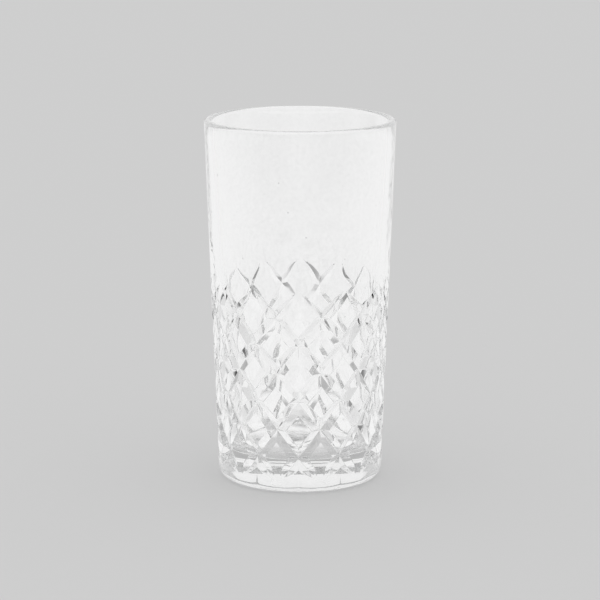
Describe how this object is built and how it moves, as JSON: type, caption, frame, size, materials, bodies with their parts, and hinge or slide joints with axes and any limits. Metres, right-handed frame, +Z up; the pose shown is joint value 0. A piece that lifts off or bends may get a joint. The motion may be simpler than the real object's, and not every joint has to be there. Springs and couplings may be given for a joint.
{
  "type": "tall tumbler",
  "caption": "Tall tapered clear-glass tumbler with a plain drinking band, a diamond lattice cut into the lower wall and a thick solid base, for cold long drinks.",
  "frame": {"origin": "centre of the standing ring, on the surface that the tumbler stands on", "axes": "+Z up along the tumbler's axis, towards the lip; a column of groove crossings faces -Y"},
  "size_m": [0.0786, 0.0786, 0.15],
  "materials": {
    "clear_glass": "clear colourless pressed glass, fire-polished, with a smooth lip"
  },
  "bodies": {
    "root": {"glass_body": "clear_glass"}
  },
  "joints": []
}
